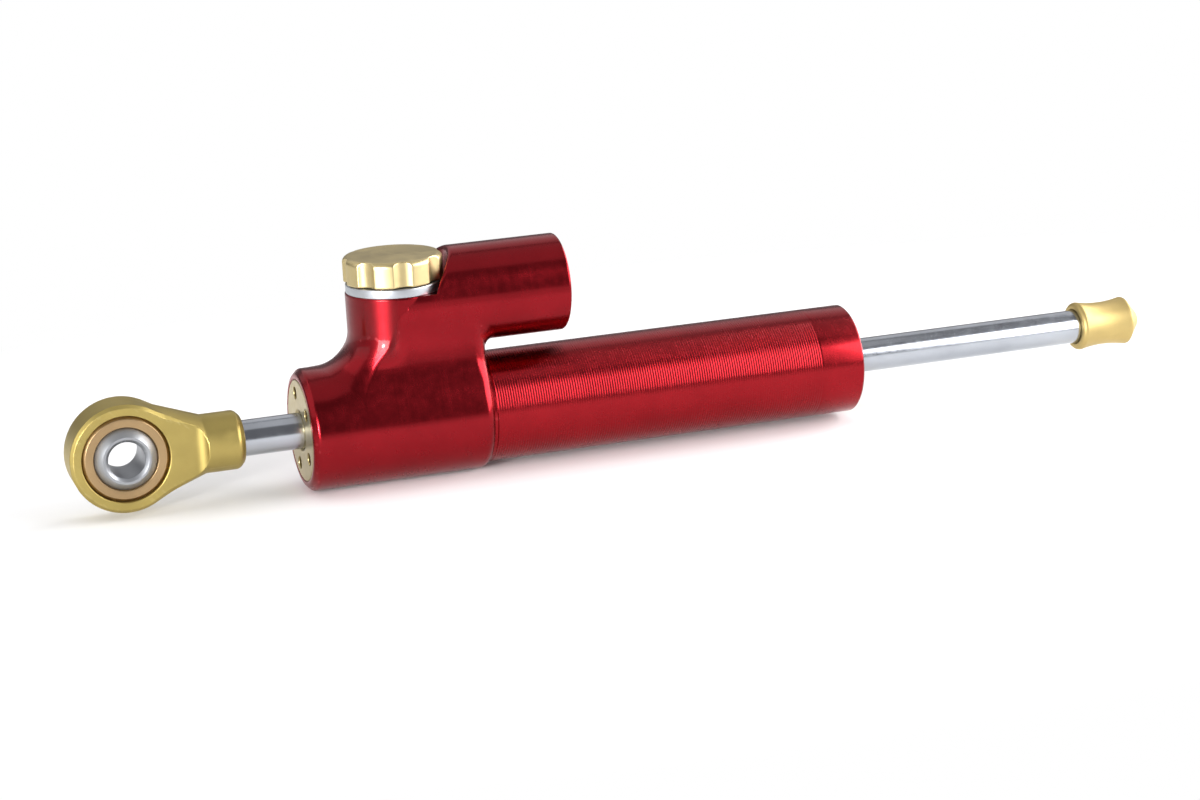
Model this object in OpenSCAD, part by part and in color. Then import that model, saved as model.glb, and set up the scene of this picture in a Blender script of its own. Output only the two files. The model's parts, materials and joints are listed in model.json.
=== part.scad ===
// Linear steering damper: a red body with an adjuster tower and an oil reservoir,
// a rod that runs right through it, a spherical bearing eye and an end cap.
// X runs along the rod towards its cap and Z runs up through the adjuster knob.
// The origin is on the rod's axis at the clamp's seat on the tube.

/* [Tube] */
// Outside diameter of the tube, which a frame clamp grips
tube_d = 25; // [24.6:0.1:26]
// Bore of the tube
tube_bore = 21; // [20.6:0.1:21.4]
// Length of the body, from the front gland's face to the end of the tube
body_len = 130.6; // [124:0.2:140]
// Chamfer on the end of the tube
tube_chamfer = 0.4; // [0.2:0.1:0.8]
// Distance from the front gland's face to the clamp's seat
clamp_x = 92; // [75:1:115]

/* [Head] */
// Diameter of the head
head_d = 27.3; // [26.8:0.1:28.4]
// Length of the head
head_len = 41.4; // [40:0.2:44]
// Chamfer round the front of the head
head_chamfer = 1.3; // [0.6:0.1:1.6]
// Radius round the back edge of the head
head_round = 2.3; // [1.5:0.1:3]

/* [Tower] */
// Diameter of the adjuster tower
tower_d = 21.8; // [21:0.1:22.4]
// Distance from the front gland's face to the tower's axis
tower_x = 23.4; // [22:0.2:25]
// Height of the tower's top above the rod's axis
tower_top = 29.2; // [28.6:0.1:31]
// Radius where the tower's foot flows into the head
foot_fillet = 7; // [4:0.5:8]
// Radius of the hollow sides between the head and the reservoir
side_hollow = 25; // [22:1:40]
// Radius on the back edges of the web under the reservoir
web_round = 3.5; // [2:0.5:4]
// Radius in which the web's back face turns into the reservoir
slot_fillet = 3; // [1.6:0.1:3]

/* [Reservoir] */
// Outside diameter of the reservoir barrel
reservoir_d = 21.84; // [21.2:0.1:22.4]
// Height of the reservoir's axis above the rod's axis
reservoir_z = 26.55; // [26:0.05:28]
// Distance from the front gland's face to the reservoir's open end
reservoir_end = 61; // [60:0.5:66]
// Chamfer on the reservoir's open end
reservoir_chamfer = 0.5; // [0.2:0.1:1]
// Bore of the reservoir
reservoir_bore = 17; // [16:0.2:17.6]
// Length of the floating piston
float_len = 5; // [4:0.5:6]
// Length of the closing plug
plug_len = 5; // [4:0.5:6]

/* [Adjuster] */
// Diameter of the knob over its lobes
knob_d = 22; // [21:0.2:23]
// Height of the knob
knob_h = 5.7; // [5:0.1:7]
// Number of lobes round the knob
knob_lobes = 8; // [6:1:12]
// Depth of the scallops between the lobes
scallop_depth = 0.9; // [0.5:0.1:1.2]
// Width of the bevel round the knob's top
knob_bevel = 1; // [0.4:0.1:1.2]
// Chamfer on the knob's lower edge
knob_chamfer = 0.4; // [0.2:0.1:0.8]
// Diameter of the detent plate under the knob
plate_d = 21.4; // [20.6:0.1:21.8]
// Thickness of the detent plate
plate_h = 2; // [1.8:0.1:3]
// Diameter of the spindle's journal in the tower
journal_d = 9; // [8:0.2:10]
// Diameter of the spindle's stem
stem_d = 6; // [5:0.2:6.4]
// Number of clicks, one metering hole each
click_count = 11; // [7:1:11]
// Angle between clicks
click_angle = 30; // [24:1:30]

/* [Rod] */
// Diameter of the rod
rod_d = 8; // [7.6:0.1:8.4]
// Bare rod between the front gland and the rod end as it is pictured
rod_reach = 13.2; // [12:0.2:30]
// Bare rod between the tube and the cap as it is pictured
rod_tail = 60.9; // [45:0.1:62]
// Length of rod held in the rod end
rod_grip = 8; // [6:0.5:10]

/* [Piston] */
// Bore of the inner cylinder that the piston runs in
sleeve_bore = 18; // [17.6:0.1:18.4]
// Wall of the inner cylinder
sleeve_wall = 1; // [0.8:0.05:1.1]
// Length of the piston
piston_len = 14; // [10:0.5:15]
// Distance from the front gland's face to the piston's middle as it is pictured
piston_x = 90; // [88:0.5:92]

/* [Glands] */
// Diameter of the gland's flange, flush with the end of the body
gland_d = 22.6; // [22.2:0.1:23]
// Length of the gland's flange
flange_len = 5; // [4:0.5:6]
// Length of the gland up to the inner cylinder
gland_len = 14; // [13:0.5:16]
// Outside diameter of the rod bush
bush_d = 10; // [9.6:0.2:11]
// Outside diameter of the rod seal
seal_d = 12.4; // [12:0.2:13]
// Number of pin-spanner holes
spanner_count = 5; // [3:1:6]
// Diameter of a pin-spanner hole
spanner_d = 2.8; // [2:0.1:3]

/* [Rod end] */
// Diameter of the eye
eye_d = 24; // [23:0.2:26]
// Thickness of the eye between its flats
eye_w = 9.5; // [9.2:0.1:11]
// Distance from the eye's centre to the shank's end face
eye_arm = 26.05; // [25:0.1:30]
// Chamfer round the eye's flats
eye_chamfer = 0.6; // [0.3:0.1:1]
// Diameter of the shank
shank_d = 13; // [12.4:0.1:14]
// Length of the round shank
shank_len = 8.6; // [7.6:0.1:10]
// Chamfer on the shank's end
shank_chamfer = 1.3; // [0.6:0.1:1.6]
// Radius in which the flats run out into the shank
flat_round = 3; // [2:0.5:4]

/* [Bearing] */
// Bore of the bearing ball, for the mounting bolt
ball_bore = 8; // [6:0.5:8]
// Diameter of the bearing ball
ball_d = 15.875; // [15.4:0.025:16.2]
// Width of the bearing ball
ball_w = 12; // [11:0.1:12.4]
// Chamfer in the ball's bore
ball_chamfer = 0.7; // [0.3:0.1:0.9]
// Outside diameter of the bearing race
race_d = 19; // [18.6:0.1:20]
// Width of the bearing race
race_w = 9; // [8.4:0.1:9.2]
// Chamfer on the bearing race
race_chamfer = 0.6; // [0.3:0.1:0.8]

/* [Cap] */
// Diameter of the cap at its rim and shoulder
cap_d = 11.5; // [10.8:0.1:12.6]
// Diameter of the cap's waist
cap_waist_d = 10.2; // [9.8:0.1:10.6]
// Length of the cap
cap_len = 17.1; // [16:0.1:20]
// Length of the cap up to its shoulder
cap_shoulder = 13.2; // [12:0.1:13.4]
// Radius of the cap's rim
cap_rim = 1.1; // [0.6:0.1:1.2]
// Radius of the cap's domed end
cap_dome = 3.4; // [2.6:0.1:3.6]
// Depth of the rod in the cap
cap_grip = 11; // [9:0.5:12]

/* [Clearances] */
// Radial gap of a turning or sliding fit
running_gap = 0.03; // [0.02:0.01:0.06]
// Radial gap between pieces that are fixed together
fit_gap = 0.02; // [0.01:0.01:0.04]
// Gap between flat faces that pass each other
face_gap = 0.2; // [0.1:0.05:0.3]
// Radial gap round the piston
piston_gap = 0.15; // [0.1:0.05:0.25]
// Gap round the knob in its recess
knob_gap = 0.9; // [0.4:0.1:1.2]

/* [Hidden] */
$fn = 96;

// Overlap of a cut past the face that it opens
past = 1;

// Pitch of a spring's closed end turns, in wire diameters
closed_pitch = 1.05;

// Radii of the round pieces
tube_r = tube_d / 2;
bore_r = tube_bore / 2;
head_r = head_d / 2;
tower_r = tower_d / 2;
reservoir_r = reservoir_d / 2;
rod_r = rod_d / 2;
gland_r = gland_d / 2;
sleeve_r = sleeve_bore / 2;

// The hollow sides touch the head and the reservoir, cut a little into both
hollow_sink = 0.03;
hollow_r = side_hollow + hollow_sink;
hollow_up = head_r + side_hollow;
hollow_down = reservoir_r + side_hollow;
hollow_z = (pow(hollow_up, 2) - pow(hollow_down, 2) + pow(reservoir_z, 2)) / (2 * reservoir_z);
hollow_y = sqrt(pow(hollow_up, 2) - pow(hollow_z, 2));
waist = hollow_y - hollow_r;
web_foot = hollow_y * head_r / hollow_up;

// The web ends inside the reservoir barrel, just over the line where its sides touch it
web_seam = 0.2;
web_top = reservoir_z - (reservoir_z - hollow_z) * reservoir_r / hollow_down + web_seam;

// Turned relief where the tube leaves the head
relief_w = 0.4;
relief_depth = 0.2;

// The foot fillet is what a rolling ball leaves, let a little into both surfaces
fillet_sink = 0.03;
fillet_out = tower_r + foot_fillet - fillet_sink;
fillet_up = head_r + foot_fillet - fillet_sink;
fillet_core = 1;
fillet_steps = 8;
fillet_turn = 7.5;

// Glands
spigot_r = bore_r - fit_gap;
nose_len = 3;
nose_r = sleeve_r - fit_gap;
groove_depth = 1.3;
groove_w = 1.7;
groove_x = (flange_len + gland_len) / 2;
seal_x = 2.4;
seal_len = 4;
bush_x = 8.2;
rod_clear = 0.2;
spanner_inset = 0.4;
spanner_r = (seal_d / 2 + gland_r) / 2 - spanner_inset;
spanner_depth = 2;
spanner_angle = 72;

// Inner cylinder between the two glands
sleeve_x = gland_len + fit_gap;
sleeve_end = body_len - gland_len - fit_gap;
sleeve_port_d = 2.4;
sleeve_port_inset = 4.6;
sleeve_port_count = 4;

// Piston on the rod
ring_w = 3;
ring_depth = 1.6;
clip_w = 0.8;
clip_depth = 0.5;
clip_rise = 1.3;
clip_opening = 2.4;
bleed_d = 1.6;
bleed_count = 4;
bleed_r = (rod_r + sleeve_r - ring_depth) / 2;

// Rod and rod end
shank_face = -rod_reach;
eye_x = shank_face - eye_arm;
rod_x = shank_face - rod_grip;
cap_x = body_len + rod_tail;
rod_end_x = cap_x + cap_grip;
rod_chamfer = 0.6;
shank_x = shank_face - shank_len;
shank_r = shank_d / 2;
eye_r = eye_d / 2;
flat_over = 0.3;

// The neck's cone runs from the shank to the eye as a tangent, let a little into the eye
neck_angle = acos(eye_r / norm([shank_x - eye_x, shank_r])) + atan2(shank_r, shank_x - eye_x);
neck_sink = 0.03;
neck_x = eye_r * cos(neck_angle);
neck_r = eye_r * sin(neck_angle) - neck_sink;

// Cap
cap_r = cap_d / 2;
cap_mid = (cap_rim + cap_shoulder) / 2;
cap_half = (cap_shoulder - cap_rim) / 2;
cap_sag = (cap_d - cap_waist_d) / 2;
cap_waist_r = (cap_half * cap_half + cap_sag * cap_sag) / (2 * cap_sag);
cap_mouth = 0.35;

// Adjuster
plate_top = tower_top + plate_h;
knob_z = plate_top + face_gap;
knob_top = knob_z + knob_h;
knob_bevel_h = knob_bevel / 2;
knob_r = knob_d / 2;
lobe_angle = 19.5;
stem_r = stem_d / 2;
journal_r = journal_d / 2;
stem_grip = 3.4;
boss_h = 3.8;
boss_d = 14;
boss_z = tower_top - boss_h;
spindle_wall = 2.4;
spindle_floor = bore_r + spindle_wall;
foot_h = 2;
journal_h = 4;
journal_z = boss_z - running_gap - journal_h;
spindle_groove_w = 1.5;
spindle_groove_depth = 1.2;
port_d = 2.4;
port_inset = 0.35;
port_r = journal_r - port_d / 2 - port_inset;
least_hole = 0.7;
largest_hole = 1.4;
passage_d = 2;
passage_lift = 0.3;
passage_z = reservoir_z - reservoir_bore / 2 + passage_d / 2 + passage_lift;
detent_d = 2.4;
detent_r = 8.2;
track_depth = 0.5;
dimple_depth = 0.25;
detent_z = plate_top - track_depth + detent_d / 2 + running_gap;
detent_bore = detent_d + 2 * running_gap;
detent_cover = 1.5;
detent_roof = knob_h - detent_cover;
detent_wire = 0.3;
detent_turns = 4;

// Reservoir
recess_r = knob_r + knob_gap;
reservoir_wall = 1.7;
reservoir_floor = tower_x + recess_r + reservoir_wall;
float_gap = 2.5;
float_x = reservoir_floor + float_gap;
float_groove_w = 1.9;
float_groove_depth = 1.5;
spring_wire = 1.1;
spring_turns = 5;
spring_r = 5.6;
lock_w = 0.9;
lock_depth = 0.8;
lock_rise = 1.4;
lock_inset = 1.2;
lock_x = reservoir_end - lock_inset - lock_w;
plug_x = lock_x - plug_len;
puller_d = 3.3;
puller_depth = 3;

// Places the front gland's face behind the clamp's seat
module from_front() {
    translate([-clamp_x, 0, 0]) children();
}

// Turns the Z axis of a round piece along X
module along_x(x = 0, z = 0) {
    translate([x, 0, z]) rotate([0, 90, 0]) children();
}

// Ring about X, from x to x + length
module ring(x, length, outer, inner, z = 0) {
    along_x(x, z) difference() {
        cylinder(r = outer, h = length);
        translate([0, 0, -past]) cylinder(r = inner, h = length + 2 * past);
    }
}

// Sealing ring of round section between a groove's floor and the wall round it
module seal_ring(floor_r, wall_r) {
    section = (wall_r - floor_r) / 2 - fit_gap;
    rotate_extrude() translate([(wall_r + floor_r) / 2, 0]) circle(section, $fn = 32);
}

// Points along a coil about Z, with a closed turn at both ends
function coil_path(radius, height, turns, wire, steps) = [
    for (i = [0 : turns * steps])
        let (turn = i / steps, closed = wire * closed_pitch, rise = height - wire - 2 * closed)
        let (open_share = min(max((turn - 1) / (turns - 2), 0), 1))
        let (closed_turns = min(turn, 1) + max(turn - turns + 1, 0))
        [
            radius * cos(360 * turn),
            radius * sin(360 * turn),
            wire / 2 + closed * closed_turns + rise * open_share
        ]
];

// Round wire along a coil, each ring of points upright and square to the turn
module coil(radius, height, turns, wire, steps = 12, sides = 6) {
    path = coil_path(radius, height, turns, wire, steps);
    rings = len(path);
    points = [
        for (i = [0 : rings - 1], k = [0 : sides - 1])
            let (a = 360 * i / steps, b = 360 * k / sides)
            path[i] + wire / 2 * [cos(b) * cos(a), cos(b) * sin(a), sin(b)]
    ];
    sides_of_wire = [
        for (i = [0 : rings - 2], k = [0 : sides - 1], half = [0, 1])
            let (n = (k + 1) % sides, p = i * sides, q = p + sides)
            half == 0 ? [p + k, p + n, q + n] : [p + k, q + n, q + k]
    ];
    first = [for (k = [1 : sides - 2]) [0, k + 1, k]];
    last_ring = (rings - 1) * sides;
    last = [for (k = [1 : sides - 2]) [last_ring, last_ring + k, last_ring + k + 1]];
    polyhedron(points, concat(sides_of_wire, first, last));
}

// Turned outline of the head and the tube
module head_and_tube() {
    along_x() rotate_extrude() {
        polygon([
            [0, 0],
            [head_r - head_chamfer, 0],
            [head_r, head_chamfer],
            [head_r, head_len - head_round],
            [0, head_len - head_round]
        ]);
        translate([head_r - head_round, head_len - head_round]) circle(head_round);
        polygon([
            [0, head_len - head_round],
            [tube_r - relief_depth, head_len - head_round],
            [tube_r - relief_depth, head_len + relief_w],
            [tube_r, head_len + relief_w + relief_depth],
            [tube_r, body_len - tube_chamfer],
            [tube_r - tube_chamfer, body_len],
            [0, body_len]
        ]);
    }
}

// Plan of a block from the tower's axis to two rounded corners at the back
module rounded_back(half, corner, back) {
    length = back - tower_x;
    translate([tower_x, -half]) square([length - corner, 2 * half]);
    translate([tower_x, corner - half]) square([length, 2 * (half - corner)]);
    for (side = [-1, 1])
        translate([back - corner, side * (half - corner)]) circle(corner);
}

// Rolling ball at an angle round the tower: its centre, and the ways to the two surfaces
function ball(a) = [
    fillet_out * cos(a),
    fillet_out * sin(a),
    sqrt(pow(fillet_up, 2) - pow(fillet_out * sin(a), 2))
];
function to_tower(a) = [-cos(a), -sin(a), 0];
function to_head(a) = -[0, ball(a)[1], ball(a)[2]] / fillet_up;

// Section of the fillet there: an arc of the ball, and one point inside the corner
function fillet_section(a) =
    let (t = to_tower(a), h = to_head(a), span = acos(t * h))
    let (corner = (t + h) / norm(t + h) * (foot_fillet / cos(span / 2) + fillet_core))
    concat(
        [for (i = [0 : fillet_steps])
            let (u = i / fillet_steps)
            ball(a) + foot_fillet * (sin((1 - u) * span) * t + sin(u * span) * h) / sin(span)],
        [ball(a) + corner]
    );

// Fillet round the front half of the tower's foot
module foot_ring() {
    angles = [90 : fillet_turn : 270];
    points = [for (a = angles, p = fillet_section(a)) p];
    count = fillet_steps + 2;
    rings = len(points) / count;
    last_ring = (rings - 1) * count;
    sides = [
        for (i = [0 : rings - 2], k = [0 : count - 1], half = [0, 1])
            let (n = (k + 1) % count, p = i * count, q = p + count)
            half == 0 ? [p + k, q + n, p + n] : [p + k, q + k, q + n]
    ];
    core = count - 1;
    first = [for (k = [0 : count - 3]) [core, k, k + 1]];
    last = [for (k = [0 : count - 3]) [last_ring + core, last_ring + k + 1, last_ring + k]];
    translate([tower_x, 0, 0]) polyhedron(points, concat(sides, first, last));
}

// What is cut from one side of the neck: a hollow along X, turned out to a round at the back
module side_cutter() {
    along_x() rotate_extrude() {
        translate([0, -past]) square([hollow_r, head_len + 2 * past]);
        difference() {
            translate([hollow_r - past, head_len - web_round])
                square([web_round + past, web_round + past]);
            translate([hollow_r + web_round, head_len - web_round]) circle(web_round);
        }
    }
}

// Tower, its foot and the web that carries the reservoir
module neck() {
    difference() {
        union() {
            translate([tower_x, 0, 0]) cylinder(r = tower_r, h = tower_top);
            translate([tower_x, -web_foot, 0]) cube([head_len - tower_x, 2 * web_foot, web_top]);
            foot_ring();
        }
        for (side = [-1, 1]) translate([0, side * hollow_y, hollow_z]) side_cutter();
    }
}

// Barrel of the reservoir, with a chamfered open end
module reservoir_barrel() {
    start = tower_x + past;
    length = reservoir_end - reservoir_chamfer - start;
    along_x(start, reservoir_z) {
        cylinder(r = reservoir_r, h = length);
        translate([0, 0, length])
            cylinder(r1 = reservoir_r, r2 = reservoir_r - reservoir_chamfer, h = reservoir_chamfer);
    }
}

// Fillet in which the web's back face turns into the underside of the barrel
module slot_end() {
    out = reservoir_r + slot_fillet - fillet_sink;
    back = head_len + slot_fillet - fillet_sink;
    intersection() {
        along_x(0, reservoir_z) rotate_extrude() difference() {
            translate([reservoir_r - past, head_len - past])
                square(slot_fillet - fillet_sink + past);
            translate([out, back]) circle(slot_fillet);
        }
        linear_extrude(web_top)
            rounded_back(waist, web_round + slot_fillet, head_len + slot_fillet);
    }
}

// Bore of the tube, with a seat for a gland at each end
module tube_bores() {
    seat = flange_len + past;
    along_x(-past) cylinder(r = bore_r, h = body_len + 2 * past);
    along_x(-past) cylinder(r = gland_r + fit_gap, h = seat);
    along_x(body_len - flange_len) cylinder(r = gland_r + fit_gap, h = seat);
}

// Recess round the knob, seat of the detent plate, spindle bore and its oilways
module adjuster_bores() {
    translate([tower_x, 0, tower_top])
        cylinder(r = recess_r, h = reservoir_z + reservoir_r + past - tower_top);
    translate([tower_x, 0, boss_z]) cylinder(r = boss_d / 2 + fit_gap, h = boss_h + past);
    translate([tower_x, 0, spindle_floor])
        cylinder(r = journal_r + running_gap, h = boss_z + past - spindle_floor);
    translate([tower_x - port_r, 0, 0]) cylinder(d = port_d, h = spindle_floor + past);
    along_x(tower_x, passage_z) cylinder(d = passage_d, h = reservoir_floor + past - tower_x);
}

// Bore of the reservoir and the groove of its snap ring
module reservoir_bores() {
    along_x(reservoir_floor, reservoir_z)
        cylinder(d = reservoir_bore, h = reservoir_end + past - reservoir_floor);
    along_x(lock_x, reservoir_z) cylinder(r = reservoir_bore / 2 + lock_depth, h = lock_w);
}

module body() {
    color("firebrick") from_front() difference() {
        union() {
            head_and_tube();
            neck();
            reservoir_barrel();
            slot_end();
        }
        tube_bores();
        adjuster_bores();
        reservoir_bores();
    }
}

// Turns a piece of the front gland round for the back of the tube
module at_rear() {
    translate([body_len, 0, 0]) mirror([1, 0, 0]) children();
}

// Gland with its face at x = 0, which carries the rod's bush and seal
module gland() {
    length = gland_len + nose_len;
    difference() {
        union() {
            along_x() cylinder(r = gland_r, h = flange_len);
            along_x() cylinder(r = spigot_r, h = gland_len);
            along_x() cylinder(r = nose_r, h = length);
        }
        along_x(-past) cylinder(r = rod_r + rod_clear, h = length + 2 * past);
        along_x(seal_x) cylinder(d = seal_d, h = seal_len);
        along_x(bush_x) cylinder(r = bush_d / 2 + fit_gap, h = length);
        ring(groove_x - groove_w / 2, groove_w, gland_r, bore_r - groove_depth);
        for (i = [0 : spanner_count - 1])
            rotate([-spanner_angle - 360 * i / spanner_count, 0, 0]) translate([0, spanner_r, 0])
                along_x(-past) cylinder(d = spanner_d, h = spanner_depth + past);
    }
}

module gland_oring() {
    along_x(groove_x) seal_ring(bore_r - groove_depth, bore_r);
}

module bush() {
    ring(bush_x + fit_gap, gland_len + nose_len - bush_x - fit_gap, bush_d / 2, rod_r + running_gap);
}

// Lip seal with its open side towards the oil
module rod_seal() {
    inner = rod_r + running_gap;
    outer = seal_d / 2 - fit_gap;
    mid = (inner + outer) / 2;
    x0 = seal_x + fit_gap;
    x1 = seal_x + seal_len - fit_gap;
    notch = seal_len / 2;
    along_x() rotate_extrude()
        polygon([[inner, x0], [outer, x0], [outer, x1], [mid, x1 - notch], [inner, x1]]);
}

module front_gland() {
    color("khaki") from_front() gland();
}

module front_gland_oring() {
    color("dimgray") from_front() gland_oring();
}

module front_bush() {
    color("peru") from_front() bush();
}

module front_rod_seal() {
    color("black") from_front() rod_seal();
}

module rear_gland() {
    color("khaki") from_front() at_rear() gland();
}

module rear_gland_oring() {
    color("dimgray") from_front() at_rear() gland_oring();
}

module rear_bush() {
    color("peru") from_front() at_rear() bush();
}

module rear_rod_seal() {
    color("black") from_front() at_rear() rod_seal();
}

module inner_cylinder() {
    color("silver") from_front() difference() {
        ring(sleeve_x, sleeve_end - sleeve_x, sleeve_r + sleeve_wall, sleeve_r);
        for (x = [sleeve_x + sleeve_port_inset, sleeve_end - sleeve_port_inset])
            for (i = [0 : sleeve_port_count - 1])
                translate([x, 0, 0]) rotate([360 * i / sleeve_port_count, 0, 0])
                    cylinder(d = sleeve_port_d, h = bore_r);
    }
}

module rod() {
    length = rod_end_x - rod_x;
    color("lightsteelblue") from_front() difference() {
        along_x(rod_x) rotate_extrude() polygon([
            [0, 0],
            [rod_r - rod_chamfer, 0],
            [rod_r, rod_chamfer],
            [rod_r, length - rod_chamfer],
            [rod_r - rod_chamfer, length],
            [0, length]
        ]);
        for (x = clip_places()) ring(x, clip_w, rod_r + past, rod_r - clip_depth);
    }
}

// Starts of the two snap rings, one at each end of the piston
function clip_places() = [
    piston_x - piston_len / 2 - running_gap - clip_w,
    piston_x + piston_len / 2 + running_gap
];

module piston() {
    color("gainsboro") from_front() difference() {
        ring(piston_x - piston_len / 2, piston_len, sleeve_r - piston_gap, rod_r + running_gap);
        ring(piston_x - ring_w / 2, ring_w, sleeve_r + past, sleeve_r - ring_depth);
        for (i = [0 : bleed_count - 1])
            rotate([360 * (i + 0.5) / bleed_count, 0, 0]) translate([0, bleed_r, 0])
                along_x(piston_x - piston_len / 2 - past)
                    cylinder(d = bleed_d, h = piston_len + 2 * past);
    }
}

module piston_ring() {
    color("saddlebrown") from_front()
        ring(
            piston_x - ring_w / 2 + fit_gap,
            ring_w - 2 * fit_gap,
            sleeve_r - running_gap,
            sleeve_r - ring_depth + fit_gap
        );
}

module piston_clips() {
    color("slategray") from_front() for (x = clip_places()) difference() {
        ring(x + fit_gap, clip_w - 2 * fit_gap, rod_r + clip_rise, rod_r - clip_depth + fit_gap);
        translate([x - past, -clip_opening / 2, 0])
            cube([clip_w + 2 * past, clip_opening, rod_r + clip_rise + past]);
    }
}

// Disc of the eye about Y, with chamfered rims
module eye_disc() {
    half = eye_w / 2;
    translate([eye_x, 0, 0]) rotate([90, 0, 0]) rotate_extrude() polygon([
        [0, -half],
        [eye_r - eye_chamfer, -half],
        [eye_r, eye_chamfer - half],
        [eye_r, half - eye_chamfer],
        [eye_r - eye_chamfer, half],
        [0, half]
    ]);
}

// Turned neck and shank, milled flat from the eye on, with a cutter's radius at the flat's end
module neck_and_shank() {
    run = sqrt(pow(flat_round, 2) - pow(flat_round - shank_r + eye_w / 2, 2));
    flat_x = shank_x - run + flat_over;
    difference() {
        along_x(eye_x) rotate_extrude() polygon([
            [0, neck_x],
            [neck_r, neck_x],
            [shank_r, shank_x - eye_x],
            [shank_r, eye_arm - shank_chamfer],
            [shank_r - shank_chamfer, eye_arm],
            [0, eye_arm]
        ]);
        for (side = [-1, 1])
            translate([0, 0, -eye_d]) linear_extrude(2 * eye_d) {
                translate([flat_x, side * (eye_w / 2 + flat_round)]) circle(flat_round);
                translate([eye_x - past, side * (eye_w + eye_d) / 2 - eye_d / 2])
                    square([flat_x - eye_x + past, eye_d]);
            }
    }
}

module rod_end() {
    color("darkkhaki") from_front() difference() {
        union() {
            eye_disc();
            neck_and_shank();
        }
        translate([eye_x, 0, 0]) rotate([90, 0, 0])
            cylinder(r = race_d / 2 + fit_gap, h = shank_d + 2 * past, center = true);
        along_x(rod_x - past) cylinder(r = rod_r + fit_gap, h = rod_grip + 2 * past);
    }
}

module bearing_race() {
    half = race_w / 2;
    color("peru") from_front() translate([eye_x, 0, 0]) rotate([90, 0, 0]) rotate_extrude()
        difference() {
            polygon([
                [0, -half],
                [race_d / 2 - race_chamfer, -half],
                [race_d / 2, race_chamfer - half],
                [race_d / 2, half - race_chamfer],
                [race_d / 2 - race_chamfer, half],
                [0, half]
            ]);
            circle(d = ball_d + 2 * running_gap);
        }
}

module bearing_ball() {
    bore = ball_bore / 2;
    half = ball_w / 2;
    color("lightslategray") from_front() translate([eye_x, 0, 0]) rotate([90, 0, 0]) rotate_extrude()
        intersection() {
            circle(d = ball_d);
            polygon([
                [bore + ball_chamfer, -half],
                [ball_d, -half],
                [ball_d, half],
                [bore + ball_chamfer, half],
                [bore, half - ball_chamfer],
                [bore, ball_chamfer - half]
            ]);
        }
}

// Where the cap's cone meets its dome, as an angle about the dome's centre
function dome_angle() =
    let (out = cap_r, back = cap_len - cap_dome - cap_shoulder)
    acos(cap_dome / norm([out, back])) - atan2(back, out);

module rod_cap() {
    dome_x = cap_len - cap_dome;
    color("goldenrod") from_front() along_x(cap_x) difference() {
        rotate_extrude() difference() {
            union() {
                translate([cap_r - cap_rim, cap_rim]) circle(cap_rim);
                polygon([
                    [0, 0],
                    [cap_r - cap_rim, 0],
                    [cap_r - cap_rim, cap_rim],
                    [cap_r, cap_rim],
                    [cap_r, cap_shoulder],
                    [cap_dome * cos(dome_angle()), dome_x + cap_dome * sin(dome_angle())],
                    [0, dome_x]
                ]);
                intersection() {
                    translate([0, dome_x]) circle(cap_dome);
                    translate([0, dome_x]) square(cap_dome);
                }
            }
            translate([cap_waist_d / 2 + cap_waist_r, cap_mid]) circle(cap_waist_r, $fn = 256);
        }
        translate([0, 0, -past]) cylinder(r = rod_r + fit_gap, h = cap_grip + fit_gap + past);
        translate([0, 0, -past]) cylinder(r = rod_r + cap_mouth, h = cap_mouth + past);
    }
}

// Radius of a scallop as wide as a lobe
function scallop_r() =
    let (half = 360 / knob_lobes / 4, drop = scallop_depth - knob_r * (1 - cos(half)))
    (pow(knob_r * sin(half), 2) + pow(drop, 2)) / (2 * drop);

// Places a piece on the tower's axis
module on_tower(z = 0) {
    translate([tower_x, 0, z]) children();
}

module knob() {
    scallop_at = knob_r - scallop_depth + scallop_r();
    color("burlywood") from_front() on_tower(knob_z) difference() {
        rotate_extrude() polygon([
            [0, 0],
            [knob_r - knob_chamfer, 0],
            [knob_r, knob_chamfer],
            [knob_r, knob_h - knob_bevel_h],
            [knob_r - knob_bevel, knob_h],
            [0, knob_h]
        ]);
        for (i = [0 : knob_lobes - 1])
            rotate(lobe_angle + 360 * (i + 0.5) / knob_lobes) translate([scallop_at, 0, -past])
                cylinder(r = scallop_r(), h = knob_h + 2 * past);
        translate([0, 0, -past]) cylinder(r = stem_r + fit_gap, h = stem_grip + fit_gap + past);
        translate([detent_r, 0, -past]) cylinder(d = detent_bore, h = detent_roof + past);
    }
}

// Silver plate that screws into the tower, with the ball's track and its clicks
module detent_plate() {
    track_r = detent_d / 2 + 2 * running_gap;
    color("silver") from_front() on_tower() difference() {
        union() {
            translate([0, 0, tower_top]) cylinder(d = plate_d, h = plate_h);
            translate([0, 0, boss_z]) cylinder(d = boss_d, h = boss_h + past);
        }
        translate([0, 0, boss_z - past])
            cylinder(r = stem_r + running_gap, h = boss_h + plate_h + 2 * past);
        rotate_extrude() translate([detent_r, detent_z]) circle(track_r);
        for (i = [0 : click_count - 1])
            rotate(click_angle * (i - (click_count - 1) / 2))
                translate([detent_r, 0, detent_z - dimple_depth]) sphere(track_r);
    }
}

module detent_ball() {
    color("lightgray") from_front() on_tower(detent_z) translate([detent_r, 0, 0]) sphere(d = detent_d);
}

module detent_spring() {
    start = detent_z + detent_d / 2 + fit_gap;
    height = knob_z + detent_roof - fit_gap - start;
    color("gray") from_front() on_tower(start) translate([detent_r, 0, 0])
        coil((detent_bore - detent_wire) / 2 - fit_gap, height, detent_turns, detent_wire);
}

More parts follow.
